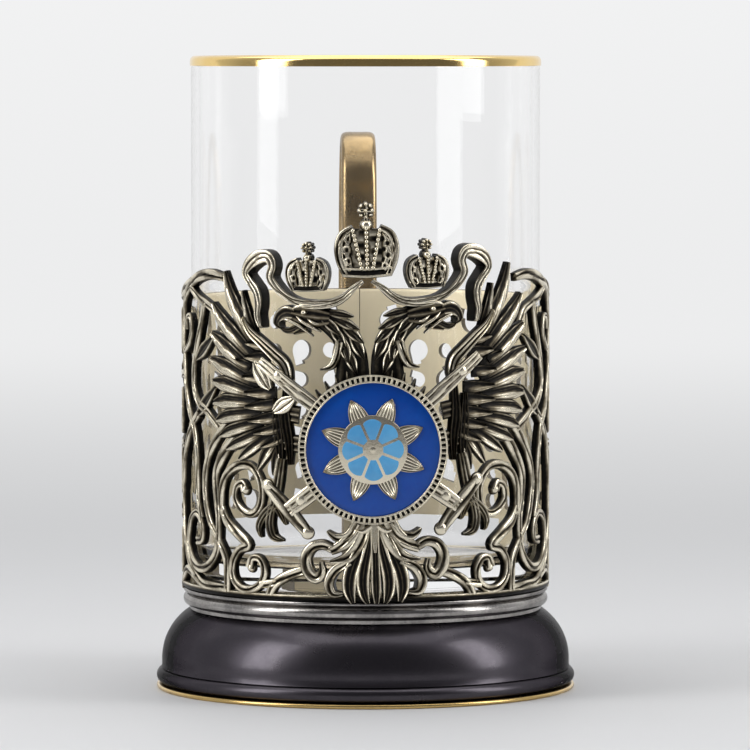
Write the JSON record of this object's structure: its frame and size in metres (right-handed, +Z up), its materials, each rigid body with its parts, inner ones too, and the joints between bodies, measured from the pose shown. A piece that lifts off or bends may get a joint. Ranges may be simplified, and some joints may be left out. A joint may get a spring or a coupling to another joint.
{
  "type": "tea glass holder with tea glass",
  "caption": "Openwork metal tea glass holder with a crowned two-headed eagle, enamel medallion, spun base and strap handle, holding a gilt-lipped glass.",
  "frame": {"origin": "centre of the round foot, on the table", "axes": "+Z up along the axis of the glass, -Y towards the eagle, +Y towards the handle, +X to the right of someone who faces the eagle"},
  "size_m": [0.0802, 0.1041, 0.121],
  "materials": {
    "openwork": "blackened nickel silver with polished high spots",
    "inner_metal": "satin nickel silver",
    "handle_metal": "aged nickel silver, satin",
    "polished_ring": "polished nickel silver",
    "dark_base": "black nickel plate, satin gloss",
    "brass_bead": "polished brass",
    "steel": "plain steel",
    "blue_enamel": "glossy royal blue enamel",
    "pale_enamel": "glossy pale blue enamel",
    "tea_glass": "clear glass",
    "gilding": "bright gilding"
  },
  "bodies": {
    "holder": {"foot_bead": "brass_bead", "base_skirt": "dark_base", "neck_ring": "polished_ring", "lower_rail": "openwork", "floor_plate": "inner_metal", "centre_screw": "steel", "centre_washer": "steel", "centre_nut": "steel", "left_scroll_panel": "openwork", "right_scroll_panel": "openwork", "left_rear_panel": "openwork", "right_rear_panel": "openwork", "handle": "handle_metal", "eagle_body": "openwork", "left_wing": "openwork", "right_wing": "openwork", "left_ribbon": "openwork", "right_ribbon": "openwork", "large_crown": "openwork", "left_crown": "openwork", "right_crown": "openwork", "crossed_staffs": "openwork", "medallion_cup": "openwork", "blue_enamel": "blue_enamel", "rosette": "openwork", "rosette_enamel": "pale_enamel"},
    "glass": {"tumbler": "tea_glass", "gilt_rim": "gilding"}
  },
  "joints": [
    {"name": "glass_lift", "type": "slide", "parent": "holder", "child": "glass", "axis": [0, 0, 1], "range_m": [0, 0.09]}
  ]
}
